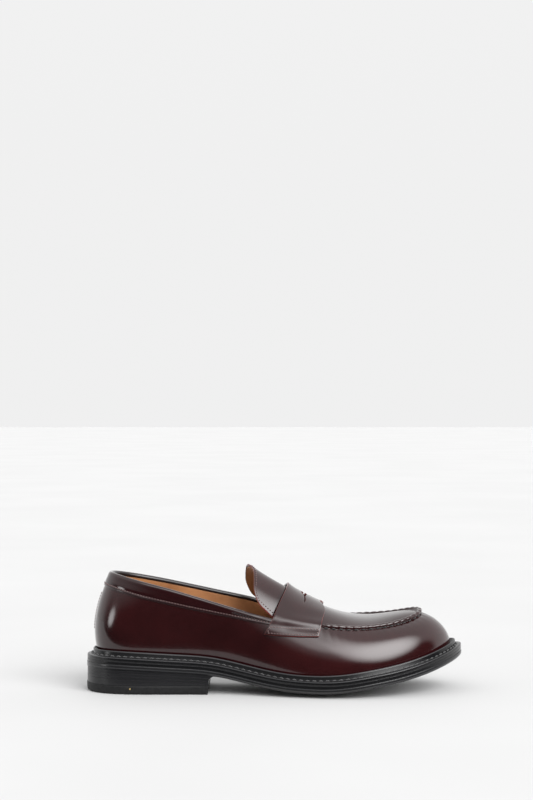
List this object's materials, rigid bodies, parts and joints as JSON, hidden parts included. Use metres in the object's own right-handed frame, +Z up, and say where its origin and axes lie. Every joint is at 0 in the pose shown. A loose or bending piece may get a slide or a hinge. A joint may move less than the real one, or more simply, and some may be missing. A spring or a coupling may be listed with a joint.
{
  "type": "penny loafer shoe",
  "caption": "Right-foot penny loafer: welted leather slip-on with a moccasin-seamed apron, slotted saddle strap, sprung tongue, storm welt and stacked heel.",
  "frame": {"origin": "on the ground, under the middle of the shoe's plan", "axes": "+X from heel to toe, +Y towards the inner (medial) side of the right foot, +Z up"},
  "size_m": [0.3, 0.1088, 0.099],
  "materials": {
    "burgundy": "high-gloss polished oxblood leather",
    "lining": "matt tan lining leather",
    "sole": "black-dressed leather, satin edge",
    "rubber": "matt black rubber",
    "stack": "black-dressed stacked leather, fine striations",
    "cork": "granulated cork paste",
    "insole": "undyed insole leather",
    "stiffener": "stiffened fibre sheet",
    "steel": "plain steel",
    "brass": "polished",
    "dark_thread": "waxed dark red-brown thread",
    "black_thread": "waxed black thread"
  },
  "bodies": {
    "shoe": {"outsole": "sole", "midsole": "sole", "storm_welt": "sole", "cork_filler": "cork", "steel_shank": "steel", "insole_board": "insole", "sock_liner": "lining", "heel_lift_1": "stack", "heel_lift_2": "stack", "heel_lift_3": "stack", "heel_wedge_lift": "stack", "heel_top_piece": "rubber", "heel_side_pin": "brass", "heel_nail_1": "steel", "heel_nail_2": "steel", "heel_nail_3": "steel", "heel_nail_4": "steel", "heel_nail_5": "steel", "vamp_and_quarters": "burgundy", "collar_band": "burgundy", "quarter_lining": "lining", "vamp_lining": "lining", "heel_counter": "stiffener", "toe_puff": "stiffener", "apron": "burgundy", "apron_lining": "lining", "saddle_strap": "burgundy", "welt_thread": "black_thread", "apron_seam_thread": "black_thread", "collar_thread": "dark_thread", "back_seam_thread": "dark_thread", "strap_thread_outer": "dark_thread", "strap_thread_inner": "dark_thread"},
    "tongue": {"tongue": "burgundy", "tongue_lining": "lining", "tongue_thread": "dark_thread"}
  },
  "joints": [
    {"name": "tongue_flex", "type": "hinge", "parent": "shoe", "child": "tongue", "pos_m": [0.0085, 0, 0.081], "axis": [0, 1, 0], "range_deg": [-6, 20], "stiffness_Nm_per_rad": 0.05}
  ]
}
